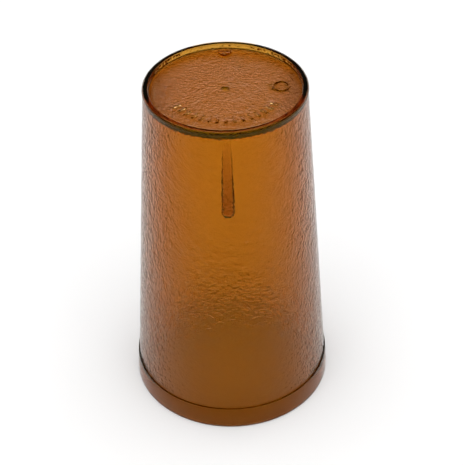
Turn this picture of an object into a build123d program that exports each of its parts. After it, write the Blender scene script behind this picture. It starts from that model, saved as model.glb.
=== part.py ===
from build123d import *
import os

# One-piece moulded restaurant tumbler, stored mouth down.
# Millimetres. Z = 0 is the plane of the rim that it stands on, and +Z points to the foot.

# Overall size
height = 152.4          # 6 inches
foot_radius = 33.8      # outer radius of the foot's bead
rim_radius = 43.6       # outer radius of the lip, before it is rounded
wall = 2.1              # side wall
floor_thickness = 2.0   # between the inside and the recess under the foot

# Lip band, the smooth ring at the mouth that stands a little proud of the pebbled wall
band_height = 10.7
band_step = 0.5
band_top_radius = 42.95
lip_round = 1.0

# Pebbled wall, a plain cone between the lip band and the foot's bead
wall_low_radius = band_top_radius - band_step
wall_top_radius = 33.55

# Foot ring
bead_height = 1.6       # from the wall to the foot's flat land
bead_round = 1.1
land_inner_radius = 31.4
land_inner_round = 0.2
recess_depth = 2.0
recess_radius = 31.2    # where the ring's inner side meets the recess
recess_corner_round = 0.3
inside_corner_round = 1.2

# Stacking ribs on the inside wall. Their lower ends are the shoulders that hold the next tumbler's foot.
rib_count = 3
rib_first_angle = -90.0
shoulder_height = 111.5
rib_low_width = 5.2
rib_top_width = 3.8
rib_low_radius = 31.8   # from the axis to the rib's face at the shoulder
rib_top_radius = 31.4   # the same at the inside floor, where the rib is almost flush with the wall
rib_edge_round = 1.4

# Marks under the foot: the gate's dimple and plain raised marks
gate_radius = 2.0
gate_depth = 0.8
bar_count = 15
bar_arc = 118.0         # degrees, centred on the front
bar_middle_radius = 22.5
bar_length = 3.4
bar_width = 0.9
mark_height = 0.6
loop_position = (22.5, 1.0)
loop_radius = 3.3       # to the middle of its half-round ridge
loop_ridge = 0.45
stud_position = (0.0, 27.2)
stud_radius = 2.5

# Derived heights and radii
bead_base = height - bead_height
recess_floor = height - recess_depth
inside_floor = recess_floor - floor_thickness
taper = (wall_low_radius - wall_top_radius) / (bead_base - band_height)


def outer_radius(z):
    """Outer radius of the pebbled cone, carried on past its two ends."""
    return wall_low_radius - taper * (z - band_height)


def inner_radius(z):
    """Inner radius of the side wall."""
    return outer_radius(z) - wall


inner_rim = (inner_radius(0.0), 0)
outer_rim = (rim_radius, 0)
inside_corner = (inner_radius(inside_floor), inside_floor)
foot_outer_edge = (foot_radius, height)
foot_inner_edge = (land_inner_radius, height)
recess_corner = (recess_radius, recess_floor)

rib_rise = inside_floor - shoulder_height
rib_lean = rib_low_radius - rib_top_radius
rib_face = Plane(origin=(rib_low_radius, 0, shoulder_height), x_dir=(0, 1, 0), z_dir=(rib_rise, 0, rib_lean))
rib_nose = rib_low_width / 2
rib_end = rib_rise + floor_thickness / 2
rib_depth = outer_radius(shoulder_height) - rib_low_radius
gate_ball = (gate_radius**2 + gate_depth**2) / (2 * gate_depth)

with BuildPart() as rib:
    # Round-nosed rib on the +X side, drawn on its face, run outwards and trimmed at the wall's middle
    with BuildSketch(rib_face):
        with BuildLine():
            Line((-rib_top_width / 2, rib_end), (-rib_nose, rib_nose))
            ThreePointArc((-rib_nose, rib_nose), (0, 0), (rib_nose, rib_nose))
            Line((rib_nose, rib_nose), (rib_top_width / 2, rib_end))
            Line((rib_top_width / 2, rib_end), (-rib_top_width / 2, rib_end))
        make_face()
    extrude(amount=rib_depth)
    fillet(rib.faces().sort_by(Axis.X)[0].edges(), rib_edge_round)
    with BuildSketch(Plane.XZ):
        with BuildLine():
            Polyline(
                (0, 0),
                (outer_radius(0) - wall / 2, 0),
                (outer_radius(height) - wall / 2, height),
                (0, height),
                close=True,
            )
        make_face()
    revolve(axis=Axis.Z, mode=Mode.INTERSECT)

with BuildPart() as tumbler:
    # Half section of the shell, turned about the Z axis
    with BuildSketch(Plane.XZ) as section:
        with BuildLine():
            Polyline(
                (0, inside_floor),
                inside_corner,
                inner_rim,
                outer_rim,
                (band_top_radius, band_height),
                (wall_low_radius, band_height),
                (wall_top_radius, bead_base),
                (foot_radius, bead_base),
                foot_outer_edge,
                foot_inner_edge,
                recess_corner,
                (0, recess_floor),
                close=True,
            )
        make_face()
        rounds = [
            (inside_corner, inside_corner_round),
            (inner_rim, lip_round),
            (outer_rim, lip_round),
            (foot_outer_edge, bead_round),
            (foot_inner_edge, land_inner_round),
            (recess_corner, recess_corner_round),
        ]
        for corner, radius in rounds:
            fillet(section.vertices().sort_by_distance(corner)[0], radius)
    revolve(axis=Axis.Z)

    with PolarLocations(0, rib_count, rib_first_angle):
        add(rib.part)

    # Plain raised marks on the recess, and the gate's dimple at its centre
    with BuildSketch(Plane.XY.offset(recess_floor)):
        with PolarLocations(bar_middle_radius, bar_count, -90 - bar_arc / 2, bar_arc, endpoint=True):
            Rectangle(bar_length, bar_width)
        with Locations(stud_position):
            Circle(stud_radius)
    extrude(amount=mark_height)
    with Locations((*loop_position, recess_floor)):
        Torus(loop_radius, loop_ridge)
    with Locations((0, 0, recess_floor - gate_depth + gate_ball)):
        Sphere(gate_ball, mode=Mode.SUBTRACT)
tumbler.part.label = "tumbler"

os.makedirs("parts", exist_ok=True)
export_step(tumbler.part, "parts/tumbler.step")
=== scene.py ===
"""An amber plastic drinking tumbler, mouth down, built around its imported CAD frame.

One closed mesh stands for the CAD node: a turned shell with the gate's dimple under the foot and the
moulded pebble grain as real relief on its outer wall, joined to the stacking ribs and the raised marks.
Lengths are in metres. Z = 0 is the rim plane and +Z points to the foot.
"""

import math

import bmesh
import bpy
import numpy as np
from mathutils import Matrix, Vector, noise

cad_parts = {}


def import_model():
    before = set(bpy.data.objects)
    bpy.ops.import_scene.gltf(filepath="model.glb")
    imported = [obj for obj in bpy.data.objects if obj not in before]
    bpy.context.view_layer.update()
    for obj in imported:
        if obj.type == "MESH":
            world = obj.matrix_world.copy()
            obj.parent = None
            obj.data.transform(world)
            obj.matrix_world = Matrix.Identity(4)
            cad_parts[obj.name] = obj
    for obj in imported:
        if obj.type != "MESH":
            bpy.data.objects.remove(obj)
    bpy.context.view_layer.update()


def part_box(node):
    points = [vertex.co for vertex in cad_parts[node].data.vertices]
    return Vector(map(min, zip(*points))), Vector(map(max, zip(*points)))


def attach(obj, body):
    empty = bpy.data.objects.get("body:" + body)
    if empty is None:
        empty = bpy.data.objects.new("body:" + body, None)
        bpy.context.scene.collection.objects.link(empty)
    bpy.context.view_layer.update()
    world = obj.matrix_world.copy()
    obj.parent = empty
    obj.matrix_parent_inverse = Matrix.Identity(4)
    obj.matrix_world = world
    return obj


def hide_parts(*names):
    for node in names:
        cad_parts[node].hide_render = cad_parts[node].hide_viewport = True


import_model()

MM = 0.001

# The CAD model's driving sizes, with the height measured on the frame
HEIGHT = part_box("tumbler")[1].z
RIM_RADIUS = 43.6 * MM
FOOT_RADIUS = 33.8 * MM
WALL = 2.1 * MM
FLOOR_THICKNESS = 2.0 * MM
BAND_HEIGHT = 10.7 * MM
BAND_TOP_RADIUS = 42.95 * MM
BAND_EDGE_ROUND = 0.15 * MM
LIP_ROUND = 1.0 * MM
WALL_LOW_RADIUS = 42.45 * MM
WALL_TOP_RADIUS = 33.55 * MM
BEAD_HEIGHT = 1.6 * MM
BEAD_ROUND = 1.1 * MM
BEAD_EDGE_ROUND = 0.1 * MM
LAND_INNER_RADIUS = 31.4 * MM
LAND_INNER_ROUND = 0.2 * MM
RECESS_RADIUS = 31.2 * MM
RECESS_DEPTH = 2.0 * MM
RECESS_CORNER_ROUND = 0.3 * MM
INSIDE_CORNER_ROUND = 1.2 * MM
BEAD_BASE = HEIGHT - BEAD_HEIGHT
RECESS_FLOOR = HEIGHT - RECESS_DEPTH
INSIDE_FLOOR = RECESS_FLOOR - FLOOR_THICKNESS
TAPER = (WALL_LOW_RADIUS - WALL_TOP_RADIUS) / (BEAD_BASE - BAND_HEIGHT)

RIB_ANGLES = [-90, 30, 150]    # degrees
SHOULDER_HEIGHT = 111.5 * MM
RIB_LOW_WIDTH = 5.2 * MM
RIB_TOP_WIDTH = 3.8 * MM
RIB_LOW_RADIUS = 31.8 * MM
RIB_TOP_RADIUS = 31.4 * MM
RIB_LEAN = math.atan2(RIB_LOW_RADIUS - RIB_TOP_RADIUS, INSIDE_FLOOR - SHOULDER_HEIGHT)
RIB_EDGE_ROUND = 1.4 * MM

GATE_RADIUS = 2.0 * MM
GATE_DEPTH = 0.8 * MM
GATE_BALL = (GATE_RADIUS ** 2 + GATE_DEPTH ** 2) / (2 * GATE_DEPTH)
BAR_COUNT = 15
BAR_ARC = 118            # degrees, centred on the front
BAR_MIDDLE_RADIUS = 22.5 * MM
BAR_LENGTH = 3.4 * MM
BAR_WIDTH = 0.9 * MM
LOOP_POSITION = (22.5 * MM, 1.0 * MM)
LOOP_RADIUS = 3.3 * MM   # to the middle of its half-round ridge
LOOP_RIDGE = 0.45 * MM
STUD_POSITION = (0, 27.2 * MM)
STUD_RADIUS = 2.5 * MM
MARK_HEIGHT = 0.6 * MM
MARK_EDGE_ROUND = 0.12 * MM
SUNK = 0.5 * MM          # how far a mark is rooted in the shell
RIB_SUNK = 0.1 * MM      # least depth of a rib below its round edge

# Mesh fineness
COLUMNS = 360            # around the tumbler
PEBBLE_ROWS = 200        # up the pebbled wall
ROUND_STEPS = 5          # along a small rounded edge
RIB_EDGE_STEPS = 7
RIB_NOSE_STEPS = 16
STUD_COLUMNS = 48
LOOP_COLUMNS = 72
RIDGE_COLUMNS = 16       # around the loop's ridge
GATE_RINGS = 8
RECESS_RINGS = 7
RECESS_EDGE = RECESS_RADIUS - 1.5 * MM    # the recess's last flat ring, clear of its corner
INSIDE_EDGE = RECESS_EDGE - 3 * MM        # the same on the inside floor
SHARP_ANGLE = math.radians(38)

# Pebble grain of the outer wall, as relief and as a finer bump, and the recess's mottled bump
GRAIN_SEED = 1           # without it noise_vector would start from the clock
PEBBLE_SIZE = 1.7 * MM
PEBBLE_DEPTH = 0.19 * MM
PEBBLE_REACH = 0.75      # radius of a pebble against its size
PEBBLE_LEVEL = 0.55      # height of the plain cone between hollow and crest
PEBBLE_STRAY = 0.35      # how far the pebbles stray, against their size
PEBBLE_SWELL = 0.35      # how much their height varies
STRAY_RATE = 0.55        # how fast the straying changes from pebble to pebble
SWELL_RATE = 0.35
FINE_PEBBLE_SIZE = 0.9 * MM
FINE_PEBBLE_DEPTH = 0.23 * MM
MOTTLE_SIZE = 1.2 * MM
MOTTLE_DEPTH = 0.5 * MM
GRAIN_FADE_LOW = 1.2 * MM     # the grain dies out over this height at the lip band
GRAIN_FADE_HIGH = 1.0 * MM    # and over this height under the foot

# Amber plastic
BODY_TINT = (1.0, 0.93, 0.80, 1)
GLOSS_TINT = (0.9, 0.5, 0.02, 1)
REFRACTION = 1.57
ABSORPTION_COLOR = (0.832, 0.626, 0.046, 1)
ABSORPTION_DENSITY = 1300
SMOOTH_ROUGHNESS = 0.01
WALL_ROUGHNESS = 0.03    # added on the pebbled wall
WEAR_SIZE = 14 * MM
WEAR_ROUGHNESS = 0.02    # at most, added by rubbing

# Light: pale surroundings, a dark ceiling above them and a softbox overhead
SURROUND = 1.75
SURROUND_TOP = (0.28, 0.44)   # sines of the elevations where they end and the ceiling begins
CEILING = 0.03                # brightness of the ceiling against the surroundings
SOFTBOX_PLACE = (0, -0.15, 1.5)
SOFTBOX_SIZE = 2.2
SOFTBOX_WATTS = 37
FLOOR_SIZE = 6
FLOOR_COLOR = (0.9, 0.9, 0.9, 1)
FLOOR_ROUGHNESS = 0.9
FLOOR_GLOSS = 0.1

# Camera, looking down at the tumbler's middle from the front and rolled a little
CAMERA_ELEVATION = math.radians(39.03)
CAMERA_ROLL = math.radians(-1.364)
CAMERA_DISTANCE = 4.2943 * HEIGHT
CAMERA_TARGET = Vector((0.0099, 0, 0.4981)) * HEIGHT
CAMERA_LENS = 116.63     # millimetres
SENSOR_WIDTH = 36


def wall_radius(z):
    """Outer radius of the cone between the lip band and the foot."""
    return WALL_LOW_RADIUS - TAPER * (z - BAND_HEIGHT)


def inner_radius(z):
    return wall_radius(z) - WALL


# ---------------------------------------------------------------- profile

def rounded(before, corner, after, radius, steps):
    """Points of a fillet of that radius at a corner of a polyline, in (radius, z)."""
    a = (Vector(before) - Vector(corner)).normalized()
    b = (Vector(after) - Vector(corner)).normalized()
    half = math.acos(max(-1, min(1, a.dot(b)))) / 2
    reach = radius / math.tan(half)
    middle = Vector(corner) + (a + b).normalized() * (radius / math.sin(half))
    start = Vector(corner) + a * reach - middle
    end = Vector(corner) + b * reach - middle
    turn = start.angle(end)
    points = []
    for i in range(steps + 1):
        t = i / steps
        way = (start * math.sin((1 - t) * turn) + end * math.sin(t * turn)) / math.sin(turn)
        points.append(tuple(middle + way))
    return points


def profile(corners):
    """A profile from (point, fillet radius, steps) rows. A radius of 0 keeps the corner."""
    points = [corners[0][0]]
    for k in range(1, len(corners) - 1):
        point, radius, steps = corners[k]
        if radius:
            points += rounded(corners[k - 1][0], point, corners[k + 1][0], radius, steps)
        else:
            points.append(point)
    points.append(corners[-1][0])
    return points


def recess_profile():
    """From the bottom of the gate's dimple over its edge and out across the recess."""
    ball_middle = RECESS_FLOOR - GATE_DEPTH + GATE_BALL
    points = []
    for i in range(1, GATE_RINGS + 1):
        radius = GATE_RADIUS * i / GATE_RINGS
        points.append((radius, ball_middle - math.sqrt(GATE_BALL ** 2 - radius ** 2)))
    for i in range(1, RECESS_RINGS + 1):
        t = (i / RECESS_RINGS) ** 0.8
        points.append((GATE_RADIUS + (RECESS_EDGE - GATE_RADIUS) * t, RECESS_FLOOR))
    return points


def foot_profile():
    """From the recess's edge over the foot ring to the top of the pebbled wall."""
    return profile([
        ((RECESS_EDGE, RECESS_FLOOR), 0, 0),
        ((RECESS_RADIUS, RECESS_FLOOR), RECESS_CORNER_ROUND, 4),
        ((LAND_INNER_RADIUS, HEIGHT), LAND_INNER_ROUND, ROUND_STEPS),
        ((FOOT_RADIUS, HEIGHT), BEAD_ROUND, ROUND_STEPS),
        ((FOOT_RADIUS, BEAD_BASE), BEAD_EDGE_ROUND, 2),
        ((WALL_TOP_RADIUS, BEAD_BASE), 0, 0),
    ])


def lip_profile():
    """From the foot of the pebbled wall over the lip band and the lip, up the inside to the floor."""
    middle_height = (BAND_HEIGHT + INSIDE_FLOOR) / 2
    return profile([
        ((WALL_LOW_RADIUS, BAND_HEIGHT), 0, 0),
        ((BAND_TOP_RADIUS, BAND_HEIGHT), BAND_EDGE_ROUND, 3),
        ((RIM_RADIUS, 0), LIP_ROUND, ROUND_STEPS + 1),
        ((inner_radius(0), 0), LIP_ROUND, ROUND_STEPS + 1),
        ((inner_radius(BAND_HEIGHT), BAND_HEIGHT), 0, 0),
        ((inner_radius(middle_height), middle_height), 0, 0),
        ((inner_radius(INSIDE_FLOOR), INSIDE_FLOOR), INSIDE_CORNER_ROUND, 6),
        ((INSIDE_EDGE, INSIDE_FLOOR), 0, 0),
    ])


# ---------------------------------------------------------------- shell

ANGLES = np.arange(COLUMNS) * 2 * math.pi / COLUMNS


def ring(radius, z):
    """One ring of points, radius and z being numbers or one value for each column."""
    return np.stack([radius * np.cos(ANGLES), radius * np.sin(ANGLES), z + 0 * ANGLES], axis=1)


def pebbled_rings():
    """Rings of the outer wall, pushed in and out along its normal by the grain, with its strength on each."""
    noise.seed_set(GRAIN_SEED)
    lean = math.atan(TAPER)
    rings = []
    strengths = []
    for row in range(PEBBLE_ROWS - 1, 0, -1):
        z = BAND_HEIGHT + (BEAD_BASE - BAND_HEIGHT) * row / PEBBLE_ROWS
        low_end = (z - BAND_HEIGHT) / GRAIN_FADE_LOW
        high_end = (BEAD_BASE - z) / GRAIN_FADE_HIGH
        strength = min(1.0, low_end ** 0.5, high_end)
        points = ring(wall_radius(z), z)
        lift = np.array([grain(Vector(p)) for p in points]) * strength
        rings.append(ring(wall_radius(z) + lift * math.cos(lean), z + lift * math.sin(lean)))
        strengths.append(strength)
    return rings, strengths


def grain(place):
    """Height of the pebble grain at a place on the wall: packed round bumps of uneven size."""
    scaled = place / PEBBLE_SIZE
    drift = noise.noise_vector(scaled * STRAY_RATE) * PEBBLE_STRAY
    distances, _ = noise.voronoi(scaled + drift)
    dome = 1 - min(1, distances[0] / PEBBLE_REACH) ** 2
    swell = noise.noise(scaled * SWELL_RATE)
    return PEBBLE_DEPTH * (dome - PEBBLE_LEVEL + PEBBLE_SWELL * swell)


def shell_mesh():
    """The closed shell without ribs or marks, with the masks that its material reads."""
    recess = [ring(r, z) for r, z in recess_profile()]
    foot = [ring(r, z) for r, z in foot_profile()[1:]]
    wall, strengths = pebbled_rings()
    lip = [ring(r, z) for r, z in lip_profile()]
    rings = recess + foot + wall + lip
    verts = np.concatenate(rings)
    faces = []
    for i in range(len(rings) - 1):
        for j in range(COLUMNS):
            k = (j + 1) % COLUMNS
            faces.append((i * COLUMNS + j, (i + 1) * COLUMNS + j, (i + 1) * COLUMNS + k, i * COLUMNS + k))
    last = (len(rings) - 1) * COLUMNS
    faces.append(tuple(range(COLUMNS)))
    faces.append(tuple(last + j for j in reversed(range(COLUMNS))))
    mesh = bpy.data.meshes.new("shell")
    mesh.from_pydata(verts.tolist(), [], faces)
    add_mask(mesh, "mottle", 0, [1] * len(recess))
    add_mask(mesh, "grain", len(recess) + len(foot), strengths)
    return mesh


def add_mask(mesh, name, first, values):
    """A vertex value for the material: one number for each ring from the first, and 0 elsewhere."""
    mask = np.zeros(len(mesh.vertices), np.float32)
    mask[first * COLUMNS:(first + len(values)) * COLUMNS] = np.repeat(values, COLUMNS)
    mesh.attributes.new(name, "FLOAT", "POINT").data.foreach_set("value", mask)


# ---------------------------------------------------------------- ribs and marks

def plate(bm, outline, place, height, edge, steps=3, root=lambda y: -SUNK):
    """A solid plate on an outline with its upper edge rounded, drawn in XY and placed by a matrix.

    root gives the height of its lower face at each y.
    """
    levels = []
    for i in range(steps + 1):
        turn = i / steps * math.pi / 2
        levels.append((edge * (1 - math.cos(turn)), height - edge + edge * math.sin(turn)))
    rows = [[bm.verts.new(place @ Vector((x, y, root(y)))) for x, y in outline]]
    for inset, z in levels:
        rows.append([bm.verts.new(place @ Vector((x, y, z))) for x, y in shrunk(outline, inset)])
    count = len(outline)
    for low, high in zip(rows, rows[1:]):
        for j in range(count):
            k = (j + 1) % count
            bm.faces.new((low[j], low[k], high[k], high[j]))
    bm.faces.new(rows[-1])
    bm.faces.new(rows[0][::-1])


def shrunk(outline, inset):
    """A convex outline, given anticlockwise, moved in by inset."""
    moved = []
    count = len(outline)
    for i in range(count):
        before = Vector(outline[i - 1])
        here = Vector(outline[i])
        after = Vector(outline[(i + 1) % count])
        first = (here - before).normalized()
        second = (after - here).normalized()
        normal = Vector((-first.y - second.y, first.x + second.x)).normalized()
        moved.append(tuple(here + normal * inset / normal.dot(Vector((-first.y, first.x)))))
    return moved


def ridge_loop(bm, place):
    """A closed round ridge, half of it sunk in the surface that it stands on."""
    rows = []
    for i in range(LOOP_COLUMNS):
        turn = 2 * math.pi * i / LOOP_COLUMNS
        row = []
        for x, z in circle(LOOP_RIDGE, RIDGE_COLUMNS):
            reach = LOOP_RADIUS + x
            row.append(bm.verts.new(place @ Vector((reach * math.cos(turn), reach * math.sin(turn), z))))
        rows.append(row)
    for i in range(LOOP_COLUMNS):
        for j in range(RIDGE_COLUMNS):
            k = (j + 1) % RIDGE_COLUMNS
            bm.faces.new((rows[i - 1][j], rows[i][j], rows[i][k], rows[i - 1][k]))


def circle(radius, count):
    return [(radius * math.cos(2 * math.pi * i / count), radius * math.sin(2 * math.pi * i / count))
            for i in range(count)]


def slab(length, width):
    x, y = length / 2, width / 2
    return [(-x, -y), (x, -y), (x, y), (-x, y)]


def rib_outline():
    """Round-nosed rib in its own plane, its nose at the origin and +Y up the wall."""
    rise = INSIDE_FLOOR - SHOULDER_HEIGHT + FLOOR_THICKNESS / 2
    nose = RIB_LOW_WIDTH / 2
    points = []
    for i in range(RIB_NOSE_STEPS + 1):
        turn = math.pi + math.pi * i / RIB_NOSE_STEPS
        points.append((nose * math.cos(turn), nose + nose * math.sin(turn)))
    points += [(RIB_TOP_WIDTH / 2, rise), (-RIB_TOP_WIDTH / 2, rise)]
    return points


def rib_root(y):
    """Where a rib ends inside the wall: at the wall's middle, and always below its own round edge."""
    face = RIB_LOW_RADIUS - y * math.tan(RIB_LEAN)
    middle = inner_radius(SHOULDER_HEIGHT + y) + WALL / 2
    return -max(middle - face, RIB_EDGE_ROUND + RIB_SUNK)


def rib_place(angle):
    """Matrix from the rib's own plane, with its height towards the axis, to the wall at that angle."""
    up = Vector((-math.sin(RIB_LEAN), 0, math.cos(RIB_LEAN)))
    towards_axis = Vector((-math.cos(RIB_LEAN), 0, -math.sin(RIB_LEAN)))
    across = up.cross(towards_axis)
    nose = Vector((RIB_LOW_RADIUS, 0, SHOULDER_HEIGHT))
    basis = Matrix((across, up, towards_axis)).transposed().to_4x4()
    return Matrix.Rotation(math.radians(angle), 4, "Z") @ Matrix.Translation(nose) @ basis


def features_mesh():
    """Ribs, bars, loop and stud, each a closed solid rooted in the shell."""
    bm = bmesh.new()
    for angle in RIB_ANGLES:
        plate(bm, rib_outline(), rib_place(angle), 0, RIB_EDGE_ROUND, RIB_EDGE_STEPS, rib_root)
    floor = Matrix.Translation((0, 0, RECESS_FLOOR))
    for i in range(BAR_COUNT):
        angle = math.radians(-90 - BAR_ARC / 2 + BAR_ARC * i / (BAR_COUNT - 1))
        place = floor @ Matrix.Rotation(angle, 4, "Z") @ Matrix.Translation((BAR_MIDDLE_RADIUS, 0, 0))
        plate(bm, slab(BAR_LENGTH, BAR_WIDTH), place, MARK_HEIGHT, MARK_EDGE_ROUND)
    ridge_loop(bm, floor @ Matrix.Translation((*LOOP_POSITION, 0)))
    stud_place = floor @ Matrix.Translation((*STUD_POSITION, 0))
    plate(bm, circle(STUD_RADIUS, STUD_COLUMNS), stud_place, MARK_HEIGHT, MARK_EDGE_ROUND)
    bmesh.ops.recalc_face_normals(bm, faces=bm.faces)
    mesh = bpy.data.meshes.new("features")
    bm.to_mesh(mesh)
    bm.free()
    return mesh


def linked(name, mesh):
    piece = bpy.data.objects.new(name, mesh)
    bpy.context.scene.collection.objects.link(piece)
    return piece


def tumbler_piece():
    """The finished mesh: shell and features joined into one closed surface."""
    piece = linked("tumbler_body", shell_mesh())
    features = linked("features", features_mesh())
    join = piece.modifiers.new("join", "BOOLEAN")
    join.operation = "UNION"
    join.solver = "EXACT"
    join.object = features
    depsgraph = bpy.context.evaluated_depsgraph_get()
    mesh = bpy.data.meshes.new_from_object(piece.evaluated_get(depsgraph))
    piece.modifiers.clear()
    piece.data = mesh
    bpy.data.objects.remove(features)
    mesh.polygons.foreach_set("use_smooth", [True] * len(mesh.polygons))
    mesh.set_sharp_from_angle(angle=SHARP_ANGLE)
    return piece


# ---------------------------------------------------------------- material

def noise_height(tree, size, detail):
    """The socket that gives the height of a noise in the object's own space."""
    place = tree.nodes.new("ShaderNodeTexCoord")
    texture = tree.nodes.new("ShaderNodeTexNoise")
    texture.inputs["Scale"].default_value = 1 / size
    texture.inputs["Detail"].default_value = detail
    tree.links.new(place.outputs["Object"], texture.inputs["Vector"])
    return texture.outputs["Fac"]


def mask_value(tree, name):
    """The socket that gives one of the shell's masks."""
    attribute = tree.nodes.new("ShaderNodeAttribute")
    attribute.attribute_name = name
    return attribute.outputs["Fac"]


def fine_relief(tree):
    """Fine pebbles on the outer wall and a mottled skin on the recess, as a bump."""
    nodes = tree.nodes
    links = tree.links
    pebbles = noise_height(tree, FINE_PEBBLE_SIZE, 0)
    mottle = noise_height(tree, MOTTLE_SIZE, 2)
    normal = None
    for mask, height, depth in (("grain", pebbles, FINE_PEBBLE_DEPTH), ("mottle", mottle, MOTTLE_DEPTH)):
        masked = nodes.new("ShaderNodeMath")
        masked.operation = "MULTIPLY"
        links.new(mask_value(tree, mask), masked.inputs[0])
        links.new(height, masked.inputs[1])
        bump = nodes.new("ShaderNodeBump")
        bump.inputs["Strength"].default_value = 1
        bump.inputs["Distance"].default_value = depth
        links.new(masked.outputs[0], bump.inputs["Height"])
        if normal:
            links.new(normal, bump.inputs["Normal"])
        normal = bump.outputs["Normal"]
    return normal


def wear(tree):
    """Roughness: polished inside, duller on the pebbled wall, with a faint haze of rubbing."""
    nodes = tree.nodes
    links = tree.links
    wall = nodes.new("ShaderNodeMath")
    wall.operation = "MULTIPLY_ADD"
    wall.inputs[1].default_value = WALL_ROUGHNESS
    wall.inputs[2].default_value = SMOOTH_ROUGHNESS
    links.new(mask_value(tree, "grain"), wall.inputs[0])
    rubbed = nodes.new("ShaderNodeMath")
    rubbed.operation = "MULTIPLY_ADD"
    rubbed.inputs[1].default_value = WEAR_ROUGHNESS
    links.new(noise_height(tree, WEAR_SIZE, 3), rubbed.inputs[0])
    links.new(wall.outputs[0], rubbed.inputs[2])
    return rubbed.outputs[0]


def amber_plastic():
    material = bpy.data.materials.new("amber_plastic")
    material.use_nodes = True
    tree = material.node_tree
    nodes = tree.nodes
    shader = nodes["Principled BSDF"]
    shader.inputs["Base Color"].default_value = BODY_TINT
    shader.inputs["Transmission Weight"].default_value = 1
    shader.inputs["IOR"].default_value = REFRACTION
    shader.inputs["Specular Tint"].default_value = GLOSS_TINT
    tree.links.new(fine_relief(tree), shader.inputs["Normal"])
    tree.links.new(wear(tree), shader.inputs["Roughness"])
    absorption = nodes.new("ShaderNodeVolumeAbsorption")
    absorption.inputs["Color"].default_value = ABSORPTION_COLOR
    absorption.inputs["Density"].default_value = ABSORPTION_DENSITY
    tree.links.new(absorption.outputs["Volume"], nodes["Material Output"].inputs["Volume"])
    return material


# ---------------------------------------------------------------- stage

def pale_floor():
    bpy.ops.mesh.primitive_plane_add(size=FLOOR_SIZE)
    floor = bpy.context.active_object
    floor.name = "floor"
    material = bpy.data.materials.new("floor")
    material.use_nodes = True
    shader = material.node_tree.nodes["Principled BSDF"]
    shader.inputs["Base Color"].default_value = FLOOR_COLOR
    shader.inputs["Roughness"].default_value = FLOOR_ROUGHNESS
    shader.inputs["Specular IOR Level"].default_value = FLOOR_GLOSS
    floor.data.materials.append(material)


def area_light(name, place, target, size, watts):
    data = bpy.data.lights.new(name, "AREA")
    data.size = size
    data.energy = watts
    light = linked(name, data)
    light.location = place
    light.rotation_euler = (Vector(target) - Vector(place)).to_track_quat("-Z", "Y").to_euler()


def camera():
    back = Vector((0, -math.cos(CAMERA_ELEVATION), math.sin(CAMERA_ELEVATION)))
    right = Vector((1, 0, 0))
    up = back.cross(right)
    rolled_right = right * math.cos(CAMERA_ROLL) + up * math.sin(CAMERA_ROLL)
    rolled_up = up * math.cos(CAMERA_ROLL) - right * math.sin(CAMERA_ROLL)
    basis = Matrix((rolled_right, rolled_up, back)).transposed().to_4x4()
    data = bpy.data.cameras.new("camera")
    data.lens = CAMERA_LENS
    data.sensor_width = SENSOR_WIDTH
    data.clip_start = 0.01
    eye = linked("camera", data)
    eye.matrix_world = Matrix.Translation(CAMERA_TARGET + back * CAMERA_DISTANCE) @ basis
    bpy.context.scene.camera = eye


def world():
    """Pale surroundings at the horizon and a dark ceiling above them."""
    sky = bpy.data.worlds.new("sky")
    sky.use_nodes = True
    nodes = sky.node_tree.nodes
    links = sky.node_tree.links
    place = nodes.new("ShaderNodeTexCoord")
    split = nodes.new("ShaderNodeSeparateXYZ")
    ramp = nodes.new("ShaderNodeValToRGB")
    ramp.color_ramp.interpolation = "EASE"
    ramp.color_ramp.elements[0].position = SURROUND_TOP[0]
    ramp.color_ramp.elements[0].color = (1, 1, 1, 1)
    ramp.color_ramp.elements[1].position = SURROUND_TOP[1]
    ramp.color_ramp.elements[1].color = (CEILING, CEILING, CEILING, 1)
    links.new(place.outputs["Generated"], split.inputs[0])
    links.new(split.outputs["Z"], ramp.inputs[0])
    links.new(ramp.outputs["Color"], nodes["Background"].inputs["Color"])
    nodes["Background"].inputs["Strength"].default_value = SURROUND
    bpy.context.scene.world = sky


tumbler = tumbler_piece()
tumbler.data.materials.append(amber_plastic())
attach(tumbler, "root")
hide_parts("tumbler")

pale_floor()
world()
area_light("softbox", SOFTBOX_PLACE, (0, 0, 0), SOFTBOX_SIZE, SOFTBOX_WATTS)
camera()
bpy.context.scene.view_settings.view_transform = "Standard"
